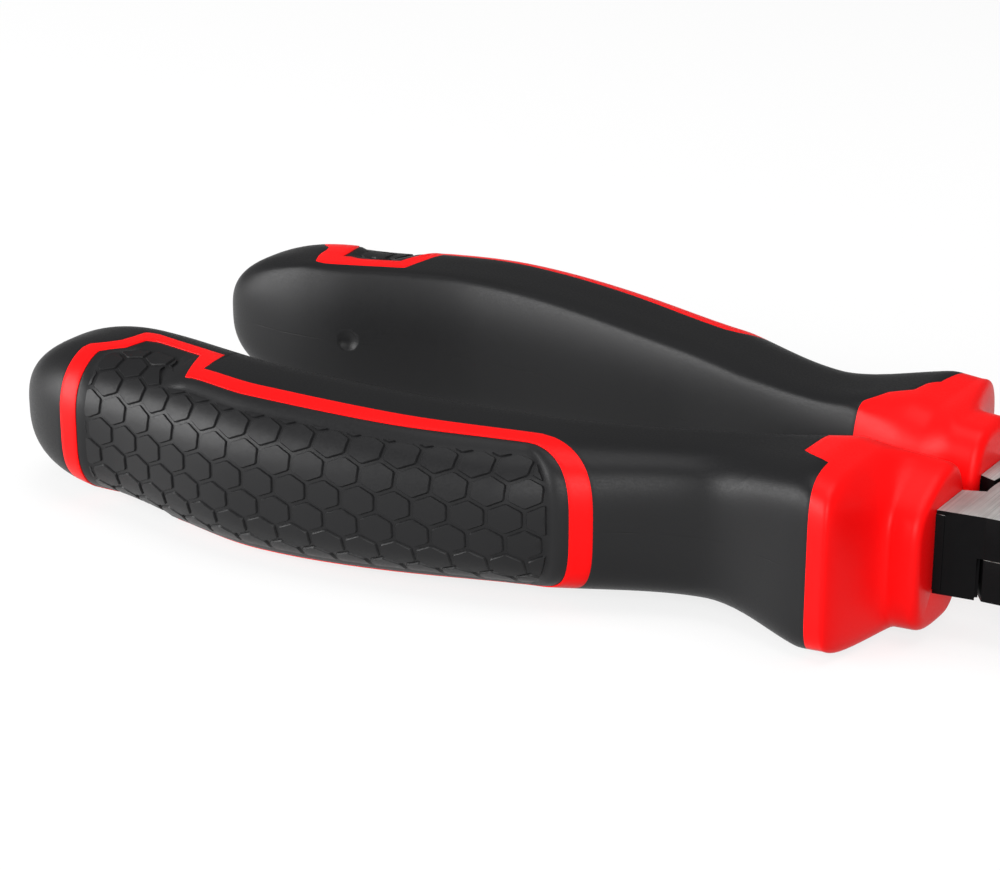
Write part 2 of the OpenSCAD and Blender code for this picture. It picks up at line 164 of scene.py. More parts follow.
def writePoints(piece, points):
    piece.data.vertices.foreach_set("co", points.ravel())
    piece.data.update()


def newPiece(name, mesh):
    piece = bpy.data.objects.new(name, mesh)
    bpy.context.scene.collection.objects.link(piece)
    return piece


def dress(piece, body, node, material):
    if material:
        piece.data.materials.clear()
        piece.data.materials.append(material)
    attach(piece, body)
    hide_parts(node)


def dressPair(leftPiece, rightName, nodeEnd, material):
    # the right grip is the left one turned over about the tool's length
    mesh = leftPiece.data.copy()
    mesh.transform(Matrix.Translation(pivot) @ Matrix.Rotation(math.pi, 4, "X") @ Matrix.Translation(-pivot))
    rightPiece = newPiece(rightName, mesh)
    for piece, side in ((leftPiece, "left"), (rightPiece, "right")):
        dress(piece, side + "_half", side + nodeEnd, material)


# Grip shape: stations are (distance behind the pivot, inner edge, outer edge, half height) in mm
gripShape = {
    "guard": [(17.4, 1.2, 14.5, 9.1), (21.8, 1.3, 14.4, 9.4), (24.2, 1.6, 23.8, 10.5), (28.6, 2.2, 23.0, 11.2)],
    "grip": [(28.6, 2.2, 23.0, 11.2), (42.0, 5.4, 20.7, 9.4), (65.0, 13.2, 31.7, 9.6),
             (97.0, 18.0, 37.0, 10.8), (122.0, 13.4, 33.3, 10.1)],
    "square": [(21.8, 3.6), (24.2, 6.0), (28.6, 6.0), (42.0, 3.8), (65.0, 2.8)],
    "innerSquare": 3.0,
    "innerShare": 0.4,
    # on the face away from the tooth a flat top meets the inner face at a crease:
    # stations are (distance behind the pivot, share of the inner half's width, squareness of the top, strength)
    "crease": [(28.6, 0.79, 5.2, 0.0), (36.0, 0.79, 5.2, 1.0), (43.0, 0.80, 5.2, 1.0), (54.0, 0.85, 4.5, 1.0),
               (75.0, 0.83, 5.6, 1.0), (100.0, 0.80, 7.0, 1.0), (124.0, 0.80, 7.0, 1.0), (135.0, 0.80, 7.0, 0.0)],
    "creaseRound": 0.08,
    "blend": 0.7,          # half length over which the guard's corners are rounded
    "blendSteps": 9,
    "tailBlend": 6.0,      # half length over which the section runs out at the rounded end
    "reach": 139.9,
    "tipOuter": 20.7,
    "tipRound": 2.3,
    "tipLean": 1.5,
}
gripBorder = {
    "front": (62.0, 22.7),
    "rise": (80.0, 27.6),
    "middle": (98.0, 29.5),
    "notch": (107.8, 28.1),
    "rear": (123.4, 19.4),
    "notchRun": 0.7,
    "notchStep": 5.2,
    "notchBack": 1.1,
    "notchSlant": 2.4,
    "width": 2.3,
    "tailWidth": 2.0,
    "frontWidth": 2.4,
    "rearWidth": 3.0,
    "frontBow": 8.9,
    "rearBow": 5.0,
    "rearRound": (0.8, 2.6),   # how far the rear corners are rounded off, and over what length
    "frontRound": 0.6,
    "cornerStep": 0.4,
    # shares of the way from the outer face to the rear corner, and of the rear bow there
    "rearShape": [(0, 0.86), (0.5, 0.95), (0.7, 1.0), (0.78, 1.0), (0.85, 0.25), (1, 0)],
    "rearSoft": 0.03,      # half the share over which that shape is softened
    "rearSoftSteps": 7,
}
# the border on the face away from the tooth, where its rear part lies further in
otherBorder = {
    **gripBorder,
    "notch": (109.3, 28.1),
    "rear": (gripBorder["rear"][0], 16.2),
    "notchRun": 1.0,
    "notchStep": 8.3,
    "notchBack": 1.8,
    "notchSlant": 1.6,
    "tailWidth": 3.2,
    "rearShape": [(0, 0.86), (0.4, 0.95), (0.58, 1.0), (0.66, 1.0), (0.74, 0.42), (1, 0)],
}
guardSeam = {
    "outer": 27.0,
    "notch": 27.8,
    "tooth": 32.2,
    "inner": 34.6,
    "toothSide": 4.0,
    "bend": (0.5, 0.85),
    # on the face away from the tooth the seam is one curve: angles and distances behind the pivot
    "plain": [(82.7, 27.8), (88.1, 28.0), (91.0, 30.4), (93.8, 32.3), (99.5, 32.8), (107.0, 33.4),
              (113.0, 34.0), (119.0, 34.4), (180.0, 34.6)],
}
panelField = {
    "side": 1.95,          # plain band between the border's long sides and the tiles
    "sideSlope": 1.5,      # part of it that slopes down to the tiles
    "front": 2.05,
    "frontSlope": 1.0,
    "rear": 1.9,
    "rearSlope": 1.5,
    "sunk": 0.12,          # the band under the border's face
    "floor": 0.62,         # the grooves' floor under the border's face
    "wall": 0.8,
    "edge": 0.12,
}


def mix(a, b, share):
    return a + (b - a) * share


def smoothStep(share):
    u = np.clip(share, 0, 1)
    return u * u * (3 - 2 * u)


def curveThrough(stations, at, column):
    xs = np.array([s[0] for s in stations])
    ys = np.array([s[column] for s in stations])
    ends = np.arange(len(xs))
    before, after = np.maximum(ends - 1, 0), np.minimum(ends + 1, len(xs) - 1)
    slopes = (ys[after] - ys[before]) / (xs[after] - xs[before])
    k = np.clip(np.searchsorted(xs, at, side="right") - 1, 0, len(xs) - 2)
    run = xs[k + 1] - xs[k]
    u = np.clip((at - xs[k]) / run, 0, 1)
    return ((1 + u * u * (2 * u - 3)) * ys[k] + u * (1 - u) ** 2 * run * slopes[k]
            + u * u * (3 - 2 * u) * ys[k + 1] + u * u * (u - 1) * run * slopes[k + 1])


def lineThrough(stations, at, column):
    return np.interp(at, [s[0] for s in stations], [s[column] for s in stations])


def rawOutline(at, column):
    guard = gripShape["guard"]
    early = lineThrough(guard, at, column)
    # the section runs out softly at the start of the rounded end
    tail, soft = gripShape["grip"][-1][0], gripShape["tailBlend"]
    past = np.clip((at - tail) / soft, -1, 1)
    section = np.where(past > -1, tail - soft * (1 - past) ** 2 / 4, at)
    late = curveThrough(gripShape["grip"], np.maximum(section, guard[-1][0]), column)
    return np.where(at < guard[-1][0], early, late)


def outline(at, column):
    reach = gripShape["blend"] * np.linspace(-1, 1, gripShape["blendSteps"])
    return sum(rawOutline(at + step, column) for step in reach) / len(reach)


def outerSquare(at):
    return lineThrough(gripShape["square"], at, 1)


def creasedRise(at, c, s):
    # the lower of a flat top and a round inner face, softened where they meet
    share = np.minimum(c, 1) ** (2 / gripShape["innerSquare"])
    meet, squareness = (lineThrough(gripShape["crease"], at, k) for k in (1, 2))
    flatTop = (1 - share ** squareness) ** (1 / squareness)
    roundFace = np.sqrt((1 - share ** 2) / (1 - meet ** 2)) * (1 - meet ** squareness) ** (1 / squareness)
    soft = gripShape["creaseRound"] * s
    return (flatTop + roundFace - np.sqrt((flatTop - roundFace) ** 2 + soft ** 2)) / 2


def skinPoint(at, angle, inset=0.0):
    # angle 0 is the outer face, 90 the top, 180 the inner face
    at, angle, inset = np.broadcast_arrays(*(np.asarray(v, float) for v in (at, angle, inset)))
    tail = gripShape["grip"][-1][0]
    intoTip = np.clip((at - tail) / (gripShape["reach"] - tail), 0, 1)
    shrink = np.maximum(1 - intoTip ** gripShape["tipRound"], 0) ** (1 / gripShape["tipRound"])
    inner, outer, half = (outline(at, k) for k in (1, 2, 3))
    middle = mix(inner, outer, gripShape["innerShare"])
    centre = mix(middle, gripShape["tipOuter"], intoTip ** gripShape["tipLean"])
    turn = np.radians(angle)
    c, s = np.cos(turn), np.sin(turn)
    square = np.where(c >= 0, outerSquare(at), gripShape["innerSquare"])
    halfWidth = np.where(c >= 0, outer - middle, middle - inner)
    across = (halfWidth - inset) * shrink * np.sign(c) * np.abs(c) ** (2 / square)
    creased = np.where((c < 0) & (s > 0), lineThrough(gripShape["crease"], at, 3), 0)
    rise = mix(np.abs(s) ** (2 / square), creasedRise(at, np.abs(c), np.abs(s)), creased)
    up = (half - inset) * shrink * np.sign(s) * rise
    return np.stack([-(at - inset * intoTip), centre + across, up], -1)


def angleAt(at, distance):
    # where the top of the skin is that far from the closing plane
    inner, outer = outline(at, 1), outline(at, 2)
    middle = mix(inner, outer, gripShape["innerShare"])
    out = np.clip((distance - middle) / (outer - middle), 0, 1)
    back = np.clip((middle - distance) / (middle - inner), 0, 1)
    return np.where(distance >= middle, np.degrees(np.arccos(out ** (outerSquare(at) / 2))),
                    180 - np.degrees(np.arccos(back ** (gripShape["innerSquare"] / 2))))


def edgeDistance(base, inside, b=gripBorder):
    # the border's long side, or a line that lies "inside" it
    toothAt = np.array(guardSeam["tooth"])
    toothMiddle = mix(outline(toothAt, 1), outline(toothAt, 2), gripShape["innerShare"])
    seamPoint = (guardSeam["outer"], float(toothMiddle) + guardSeam["toothSide"])
    line = [seamPoint, b["front"], b["rise"], b["middle"], b["notch"]]
    notch, share = b["notch"][0], inside / b["width"]
    stepAt = notch + b["notchBack"] * share
    stepEnd = notch + mix(b["notchRun"], b["notchBack"] + b["notchSlant"], share)
    tailInside = inside * b["tailWidth"] / b["width"] if share <= 1 else b["tailWidth"] + inside - b["width"]
    stepY = np.interp(stepEnd, [notch + b["notchRun"], b["rear"][0]],
                      [b["notch"][1] - b["notchStep"], b["rear"][1]])
    late = np.interp(base, [stepAt, stepEnd, b["rear"][0]],
                     [b["notch"][1] + inside, stepY + tailInside, b["rear"][1] + tailInside])
    depth, run = b["rearRound"]
    late = late + depth * np.clip((base - b["rear"][0] + tailInside + run) / run, 0, 1) ** 2
    return np.where(base <= notch, curveThrough(line, base, 1) + inside, late)


def edgeAngle(base, inside, border=gripBorder):
    return angleAt(base, edgeDistance(base, inside, border))


frontIn = gripBorder["front"][0] + gripBorder["cornerStep"]
rearIn = gripBorder["rear"][0] - gripBorder["tailWidth"]


def frontShare(turned):
    # the front end is one round sweep
    return np.maximum(1 - np.minimum(turned, 1) ** 2, 0) ** gripBorder["frontRound"]


def onOther(angle):
    # the half of the skin away from the tooth
    return (angle > 0) & (angle < 180)


def rearShare(turned, angle):
    # the rear end stands out between two shoulders, with rounded corners
    steps = np.linspace(-gripBorder["rearSoft"], gripBorder["rearSoft"], gripBorder["rearSoftSteps"])
    own, other = (sum(np.interp(np.minimum(turned, 1) + step, *zip(*border["rearShape"])) for step in steps)
                  / len(steps) for border in (gripBorder, otherBorder))
    return np.where(onOther(angle), other, own)


def panelReach(base, turned, angle):
    b = gripBorder
    share = (base - frontIn) / (rearIn - frontIn)
    front = (b["cornerStep"] + b["frontBow"] - b["frontWidth"]) * frontShare(turned)
    rear = (b["tailWidth"] + b["rearBow"] - b["rearWidth"]) * rearShare(turned, angle)
    return base + mix(-front, rear, share)


# Rows and columns of the skin, so that the pieces share their edges
skinGrid = {
    "frontRows": 44,
    "endRows": 4,          # across the border's front and rear ends
    "palmStep": 0.7,       # mm between rows along the palm
    "leastStep": 0.12,     # mm under which two stops become one
    "tipRows": 26,
    "fieldColumns": 34,
    "bandColumns": 2,
    "slopeColumns": 3,
    "borderColumns": 4,
    "collarColumns": 8,    # from the border to a smooth line beside it
    "backColumns": 64,
}
borderWidth = gripBorder["width"]
slopeTop = borderWidth + panelField["side"] - panelField["sideSlope"]
slopeEnd = borderWidth + panelField["side"]
fieldFirst, fieldLast = frontIn + panelField["front"], rearIn - panelField["rear"]
stops = [frontIn, fieldFirst - panelField["frontSlope"], fieldFirst]
for border in (gripBorder, otherBorder):
    for inside in (0, borderWidth, slopeTop, slopeEnd):
        share = inside / borderWidth
        stops += [border["notch"][0] + border["notchBack"] * share,
                  border["notch"][0] + mix(border["notchRun"], border["notchBack"] + border["notchSlant"], share)]
stops = sorted(stops + [fieldLast, fieldLast + panelField["rearSlope"], rearIn])
stops = [a for a, b in zip(stops, stops[1:]) if b - a > skinGrid["leastStep"]] + [rearIn]
panelBases = []
for a, b in zip(stops, stops[1:]):
    count = max(2, round((b - a) / skinGrid["palmStep"]))
    panelBases += [mix(a, b, k / count) for k in range(count)]
panelBases.append(rearIn)
endShares = np.arange(skinGrid["endRows"]) / skinGrid["endRows"]
palmFirst = skinGrid["frontRows"]
innerFirst = palmFirst + skinGrid["endRows"]
innerLast = innerFirst + len(panelBases) - 1
palmLast = innerLast + skinGrid["endRows"]
rowCount = palmLast + skinGrid["tipRows"]

frontShares = np.arange(palmFirst) / palmFirst
bases = np.concatenate([
    mix(guardSeam["outer"], gripBorder["front"][0], frontShares),
    mix(gripBorder["front"][0], frontIn, endShares),
    panelBases,
    mix(rearIn, gripBorder["rear"][0], endShares + 1 / skinGrid["endRows"]),
    np.full(skinGrid["tipRows"], gripBorder["rear"][0]),
])
# angles of the border's outer edge, the panel's edge, and the top and foot of its slope
lines, otherLines = ([edgeAngle(bases, k, border) for k in (0, borderWidth, slopeTop, slopeEnd)]
                     for border in (gripBorder, otherBorder))
for side in (lines, otherLines):
    for k in (2, 3):
        # ahead of the border the lines keep their share of the way, as the neck is too narrow for the distances
        ahead = side[k][palmFirst] / side[1][palmFirst]
        side[k][:palmFirst] = side[1][:palmFirst] * ahead

# the sleeve's other columns start from a smooth line, so that they don't follow the deep notch
collarLine = {
    "past": 10,            # mm that it is worked out past both ends of the border
    "step": 0.25,          # mm between its marks
    "follow": 20,          # marks on each side, of which it follows the highest
    "even": 12,            # marks on each side that it is then averaged over
    "clear": 4,            # degrees that it stays off the border
}
collarStart, collarEnd = guardSeam["outer"], gripBorder["rear"][0]
collarMarks = np.arange(collarStart - collarLine["past"], collarEnd + collarLine["past"], collarLine["step"])
rims = edgeAngle(np.clip(collarMarks, collarStart, collarEnd), 0, otherBorder)
follow, even = collarLine["follow"], collarLine["even"]
tops = [rims[max(k - follow, 0):k + follow + 1].max() for k in range(len(rims))]
evened = np.convolve(np.pad(tops, even, "edge"), np.ones(2 * even + 1) / (2 * even + 1), "valid")
collar = np.interp(bases, collarMarks, evened) + collarLine["clear"]

# columns from the border's edge on the tooth's face, over the palm and back round the inner face
columnEdges = [*(-line for line in lines), *otherLines[::-1], collar, 360 - lines[0]]
columnKinds = ("border", "band", "slope", "field", "slope", "band", "border", "collar", "back")
columnAngles = []
for kind, first, last in zip(columnKinds, columnEdges, columnEdges[1:]):
    count = skinGrid[kind + "Columns"]
    columnAngles += [mix(first, last, k / count) for k in range(count)]
angles = np.stack(columnAngles + columnEdges[-1:], 1)
columnCount = angles.shape[1] - 1
palmColumns = columnCount - skinGrid["collarColumns"] - skinGrid["backColumns"]
seamRim, seamEdge = lines[0][0], lines[1][0]


def seamAt(angle):
    turned = np.where(angle > 180, 360 - angle, np.abs(angle))
    outerPart = mix(guardSeam["outer"], guardSeam["notch"], (turned / seamEdge) ** 2)
    step = mix(guardSeam["notch"], guardSeam["tooth"], (turned - seamEdge) / (seamRim - seamEdge))
    fromInner = (180 - turned) / (180 - seamRim)
    bendStart, bendEnd = guardSeam["bend"]
    bent = smoothStep((fromInner - bendStart) / (bendEnd - bendStart))
    innerPart = mix(guardSeam["inner"], guardSeam["tooth"], bent)
    toothed = np.where(turned <= seamEdge, outerPart, np.where(turned < seamRim, step, innerPart))
    plain = np.where(turned <= seamEdge, outerPart, np.interp(turned, *zip(*guardSeam["plain"])))
    return np.where(onOther(angle), plain, toothed)


reaches = np.zeros_like(angles)
turnedAngles = np.where(angles > 180, 360 - angles, np.abs(angles))
for i in range(rowCount + 1):
    onRim, onPanel = (turnedAngles[i] / np.where(onOther(angles[i]), otherLines[k][i], lines[k][i])
                      for k in (0, 1))
    frontEnd = gripBorder["front"][0] - gripBorder["frontBow"] * frontShare(onRim)
    rearEnd = gripBorder["rear"][0] + gripBorder["rearBow"] * rearShare(onRim, angles[i])
    if i < palmFirst:
        reaches[i] = mix(seamAt(angles[0]), frontEnd, frontShares[i])
    elif i < innerFirst:
        reaches[i] = mix(frontEnd, panelReach(frontIn, onPanel, angles[i]), endShares[i - palmFirst])
    elif i <= innerLast:
        reaches[i] = panelReach(bases[i], onPanel, angles[i])
    elif i <= palmLast:
        reaches[i] = mix(panelReach(rearIn, onPanel, angles[i]), rearEnd, (i - innerLast) / skinGrid["endRows"])
    else:
        intoTip = math.sin(math.pi / 2 * (i - palmLast) / skinGrid["tipRows"])
        reaches[i] = mix(rearEnd, gripShape["reach"], intoTip)
print("skin laid out:", rowCount, "rows and", columnCount, "columns")


def place(points):
    return np.asarray(points, float) * mm + np.array(pivot)


def gridPiece(name, rows, columns, points, drop=None):
    # a flat grid wrapped onto the skin; points[i, j] is where its corner goes
    bpy.ops.mesh.primitive_grid_add(x_subdivisions=columns, y_subdivisions=rows, size=1)
    piece = bpy.context.object
    piece.name = name
    flat = readPoints(piece)
    j = columns - np.rint((flat[:, 0] + 0.5) * columns).astype(int)
    i = np.rint((flat[:, 1] + 0.5) * rows).astype(int)
    if drop:
        pickFaces(piece, lambda face: drop((face.center.y + 0.5) * rows,
                                           columns - (face.center.x + 0.5) * columns))
    bpy.ops.object.mode_set(mode="OBJECT")
    writePoints(piece, place(points[i, j]))
    bpy.ops.object.mode_set(mode="EDIT")
    if drop:
        bpy.ops.mesh.delete(type="FACE")
    bpy.ops.mesh.select_all(action="SELECT")
    bpy.ops.mesh.remove_doubles(threshold=weldGap)
    bpy.ops.object.mode_set(mode="OBJECT")
    return piece


# angles in degrees past which an edge of the skin is bevelled, and shaded sharp
skinEdge = {"bevelled": 55, "sharp": 50}


def thicken(piece, wall, edge):
    solid = piece.modifiers.new("wall", "SOLIDIFY")
    solid.thickness = wall * mm
    solid.offset = -1
    addBevel(piece, edge, skinEdge["bevelled"])
    applyAll(piece)
    smoothShade(piece, skinEdge["sharp"])


# Materials: patterns, depths and widths are in mm
noiseSpan = (0.3, 0.7)     # where most of a noise's values lie


def cloudTint(tree, coords, size, detail, colours):
    # two colours mixed by a noise of that size
    cloud = addNode(tree, "ShaderNodeTexNoise", {"Scale": 1 / (size * mm), "Detail": detail}, {"Vector": coords})
    first, second = (hexColour(code) for code in colours)
    tint = addNode(tree, "ShaderNodeMix", {"data_type": "RGBA", 6: first, 7: second}, {0: cloud.outputs["Fac"]})
    return tint.outputs[2], cloud.outputs["Fac"]


def roughen(tree, shader, grain, roughness, strength, depth):
    # a grain that spreads the roughness over a range and stands up a little
    spread = {"From Min": noiseSpan[0], "From Max": noiseSpan[1], "To Min": roughness[0], "To Max": roughness[1]}
    gloss = addNode(tree, "ShaderNodeMapRange", spread, {"Value": grain})
    tree.links.new(gloss.outputs[0], shader.inputs["Roughness"])
    bump = addNode(tree, "ShaderNodeBump", {"Strength": strength, "Distance": depth * mm}, {"Height": grain})
    tree.links.new(bump.outputs[0], shader.inputs["Normal"])
    return bump.outputs[0]


# Thermoplastic rubber, moulded against a spark-eroded tool: near black, satin, with a fine grain
rubberFinish = {
    "cloud": 14,
    "grain": 0.25,         # the coarsest that a spark-eroded tool leaves, so that it shows
    "grainStrength": 0.25,
    "grainDepth": 0.02,
    "spread": (-0.05, 0.07),   # of the roughness
    "specular": 0.2,
    "ior": 1.5,
    "lineHalf": (0.04, 0.12),  # half width of the mould's parting line, full and faded out
    "linePatch": 6,            # size of the places where it shows more and less
    "lineShow": (0.45, 0.65, 0.6),
    "lineStrength": 0.5,
    "lineDepth": 0.05,
    "lineColour": "#0C0C0C",
}


def softRubber(name, colour, paler, roughness, partingLine):
    f = rubberFinish
    material, tree, shader = startMaterial(name, {"Specular IOR Level": f["specular"], "IOR": f["ior"]})
    coords = addNode(tree, "ShaderNodeTexCoord").outputs["Object"]
    skinColour = cloudTint(tree, coords, f["cloud"], 3.0, (colour, paler))[0]
    grain = addNode(tree, "ShaderNodeTexNoise", {"Scale": 1 / (f["grain"] * mm), "Detail": 2.0},
                    {"Vector": coords})
    normal = roughen(tree, shader, grain.outputs["Fac"], [roughness + step for step in f["spread"]],
                     f["grainStrength"], f["grainDepth"])
    if partingLine:
        # the two halves of the mould meet on the pivot's middle plane and leave a line, faint in places
        height = addNode(tree, "ShaderNodeSeparateXYZ", None, {0: coords}).outputs["Z"]
        offPlane = addNode(tree, "ShaderNodeMath", {"operation": "SUBTRACT", 1: pivot.z}, {0: height})
        away = addNode(tree, "ShaderNodeMath", {"operation": "ABSOLUTE"}, {0: offPlane.outputs[0]})
        full, faded = f["lineHalf"]
        line = addNode(tree, "ShaderNodeMapRange",
                       {"From Min": full * mm, "From Max": faded * mm, "To Min": 1.0, "To Max": 0.0},
                       {"Value": away.outputs[0]})
        patch = addNode(tree, "ShaderNodeTexNoise", {"Scale": 1 / (f["linePatch"] * mm), "Detail": 2.0},
                        {"Vector": coords})
        least, most, shown = f["lineShow"]
        faint = addNode(tree, "ShaderNodeMapRange", {"From Min": least, "From Max": most, "To Max": shown},
                        {"Value": patch.outputs["Fac"]})
        share = addNode(tree, "ShaderNodeMath", {"operation": "MULTIPLY"},
                        {0: line.outputs[0], 1: faint.outputs[0]})
        ridge = addNode(tree, "ShaderNodeBump",
                        {"Strength": f["lineStrength"], "Distance": f["lineDepth"] * mm, "invert": True},
                        {"Height": share.outputs[0], "Normal": normal})
        tree.links.new(ridge.outputs[0], shader.inputs["Normal"])
        darker = addNode(tree, "ShaderNodeMix", {"data_type": "RGBA", 7: hexColour(f["lineColour"])},
                         {0: share.outputs[0], 6: skinColour})
        skinColour = darker.outputs[2]
    tree.links.new(skinColour, shader.inputs["Base Color"])
    return material


# Polypropylene, injection moulded: strong even red with a soft gloss
redFinish = {
    "colours": ("#FC090B", "#FF0E10"),
    "cloud": 9,
    "grain": 0.3,          # drawn coarse, so that it shows
    "grainStrength": 0.12,
    "grainDepth": 0.02,
    "roughness": (0.36, 0.46),
    "specular": 0.15,
    "ior": 1.49,
}


def redPlastic(name):
    f = redFinish
    material, tree, shader = startMaterial(name, {"Specular IOR Level": f["specular"], "IOR": f["ior"]})
    coords = addNode(tree, "ShaderNodeTexCoord").outputs["Object"]
    tint = cloudTint(tree, coords, f["cloud"], 2.0, f["colours"])[0]
    tree.links.new(tint, shader.inputs["Base Color"])
    grain = addNode(tree, "ShaderNodeTexNoise", {"Scale": 1 / (f["grain"] * mm), "Detail": 2.0},
                    {"Vector": coords})
    roughen(tree, shader, grain.outputs["Fac"], f["roughness"], f["grainStrength"], f["grainDepth"])
    return material


# Tool steel with its faces ground on a belt: pale, with fine lines across the tool
groundFinish = {
    "belt": (0.12, 12, 3),     # width, length and depth of the belt's lines
    "beltStrength": 0.2,
    "beltDepth": 0.01,
    "spread": (-0.06, 0.08),   # of the roughness
    "cloud": 7,
    "paleFrom": (0.12, 0.4),   # of belt times cloud, from all dark to all pale
}


def groundSteel(name, colour, darker, roughness):
    f = groundFinish
    material, tree, shader = startMaterial(name, {"Metallic": 1.0})
    coords = addNode(tree, "ShaderNodeTexCoord").outputs["Object"]
    mapping = addNode(tree, "ShaderNodeMapping", {"Scale": [1 / (size * mm) for size in f["belt"]]},
                      {"Vector": coords})
    belt = addNode(tree, "ShaderNodeTexNoise", {"Scale": 1.0, "Detail": 3.0}, {"Vector": mapping.outputs[0]})
    cloud = addNode(tree, "ShaderNodeTexNoise", {"Scale": 1 / (f["cloud"] * mm), "Detail": 3.0},
                    {"Vector": coords})
    both = addNode(tree, "ShaderNodeMath", {"operation": "MULTIPLY"},
                   {0: belt.outputs["Fac"], 1: cloud.outputs["Fac"]})
    dark, pale = f["paleFrom"]
    share = addNode(tree, "ShaderNodeMapRange", {"From Min": dark, "From Max": pale}, {"Value": both.outputs[0]})
    tint = addNode(tree, "ShaderNodeMix", {"data_type": "RGBA", 6: hexColour(darker), 7: hexColour(colour)},
                   {0: share.outputs[0]})
    tree.links.new(tint.outputs[2], shader.inputs["Base Color"])
    roughen(tree, shader, belt.outputs["Fac"], [roughness + step for step in f["spread"]],
            f["beltStrength"], f["beltDepth"])
    return material


# Tool steel as forged and blackened: dark grey, a little oily, with a fine scale
blackFinish = {
    "colours": ("#050506", "#0C0C0D"),
    "scale": 0.9,
    "scaleStrength": 0.3,
    "scaleDepth": 0.03,
    "roughness": (0.42, 0.56),
    "specular": 0.07,
}


def blackenedSteel(name):
    f = blackFinish
    material, tree, shader = startMaterial(name, {"Specular IOR Level": f["specular"]})
    coords = addNode(tree, "ShaderNodeTexCoord").outputs["Object"]
    tint, scale = cloudTint(tree, coords, f["scale"], 5.0, f["colours"])
    tree.links.new(tint, shader.inputs["Base Color"])
    roughen(tree, shader, scale, f["roughness"], f["scaleStrength"], f["scaleDepth"])
    return material


sleeveRubber = softRubber("sleeveRubber", "#151516", "#1A1A1B", 0.42, True)
panelRubber = softRubber("panelRubber", "#171718", "#1C1C1D", 0.41, False)
redShell = redPlastic("redShell")
groundFace = groundSteel("groundSteel", "#CFCECC", "#ABAAA8", 0.72)
cutEdge = groundSteel("cutEdgeSteel", "#D8D7D4", "#B4B3B0", 0.26)
rivetSteel = groundSteel("rivetSteel", "#BDBCBA", "#8F8E8C", 0.34)
blackSide = blackenedSteel("blackenedSteel")
print("materials made")

# Sleeve: the skin behind the guard, open where the border and the palm panel lie
sleeveShape = {
    "wall": 1.5,
    "edge": 0.16,
    "gate": {"at": 116.1, "angle": 179.0, "ball": 2.4, "depth": 0.5, "segments": 64, "rings": 32},
}
skin = skinPoint(reaches, angles)
leftSleeve = gridPiece("leftSleeve", rowCount, columnCount, skin,
                       lambda i, j: palmFirst < i < palmLast and j < palmColumns)
thicken(leftSleeve, sleeveShape["wall"], sleeveShape["edge"])
# the dimple of the mould's gate, on the inner face
gate = sleeveShape["gate"]
spot, under = (Vector(place(skinPoint(gate["at"], gate["angle"], inset)).tolist()) for inset in (0.0, 1.0))
ballPlace = spot + (spot - under).normalized() * (gate["ball"] - gate["depth"]) * mm
bpy.ops.mesh.primitive_uv_sphere_add(segments=gate["segments"], ring_count=gate["rings"],
                                     radius=gate["ball"] * mm, location=ballPlace)
useTool(leftSleeve, bpy.context.object, "DIFFERENCE")
smoothShade(leftSleeve, skinEdge["sharp"])
dressPair(leftSleeve, "rightSleeve", "_grip_sleeve", sleeveRubber)
print("sleeves made")

# Border round the palm panel
borderShape = {"wall": 1.5, "edge": 0.2}
borderSide = skinGrid["borderColumns"]


def underPanel(i, j):
    inRows = innerFirst - palmFirst < i < innerLast - palmFirst
    return inRows and borderSide < j < palmColumns - borderSide


leftBorder = gridPiece("leftBorder", palmLast - palmFirst, palmColumns,
                       skin[palmFirst:palmLast + 1, :palmColumns + 1], underPanel)
thicken(leftBorder, borderShape["wall"], borderShape["edge"])
dressPair(leftBorder, "rightBorder", "_border_trim", redShell)
print("borders made")

# Palm panel: a plain band that slopes down to a sunk floor, and tiles on the floor
panelRows = slice(innerFirst, innerLast + 1)
panelCols = slice(borderSide, palmColumns - borderSide + 1)
panelAngles, panelReaches = angles[panelRows, panelCols], reaches[panelRows, panelCols]
alongFront = (bases[panelRows] - (fieldFirst - panelField["frontSlope"])) / panelField["frontSlope"]
alongRear = (fieldLast + panelField["rearSlope"] - bases[panelRows]) / panelField["rearSlope"]
slopeTops, slopeEnds = (np.where(panelAngles > 0, otherLines[k][panelRows, None], lines[k][panelRows, None])
                        for k in (2, 3))
across = (slopeTops - np.abs(panelAngles)) / (slopeTops - slopeEnds)
depths = np.clip(np.minimum(np.minimum(alongFront, alongRear)[:, None], across), 0, 1)
sunk = mix(panelField["sunk"], panelField["floor"], depths)
leftPanel = gridPiece("leftPanel", panelAngles.shape[0] - 1, panelAngles.shape[1] - 1,
                      skinPoint(panelReaches, panelAngles, sunk))
thicken(leftPanel, panelField["wall"], panelField["edge"])

panelTiles = {
    "pitch": 4.57,         # along the palm's curve
    "row": 3.36,           # between rows, round the palm
    "rows": range(-5, 6),
    "places": range(-12, 9),   # along a row
    "past": 3,             # how far past the field's ends a tile's middle may lie
    "halfHeight": 2.24,
    "firstAt": 98.25,      # a tile's middle, behind the pivot
    "firstRow": -1.18,
    "groove": 0.36,        # width of the grooves at their floor
    "draft": 0.1,          # how far a tile's walls lean in
    "edge": 0.08,          # rounding of its upper edge
    "corner": 0.3,         # rounding of its corners
    "top": 0.38,           # tile faces under the border's face
    "foot": 0.08,          # how far the walls go into the floor
    "clear": 0.08,         # between the slope's foot and the tiles
    "rearRun": 0.6,        # share of the rear slope that the tiles run into
    "least": 0.25,         # square mm of the smallest cut tile
    "whole": 12,           # square mm past which a tile counts as whole
    "sideStep": (0.12, 0.8),   # least and most between the points of an outline
    "narrow": (0.1, 0.8),  # least distance to a tile's middle, and the most of it that a wall leans in
    "sharp": 32,           # degrees past which an edge is shaded sharp
}
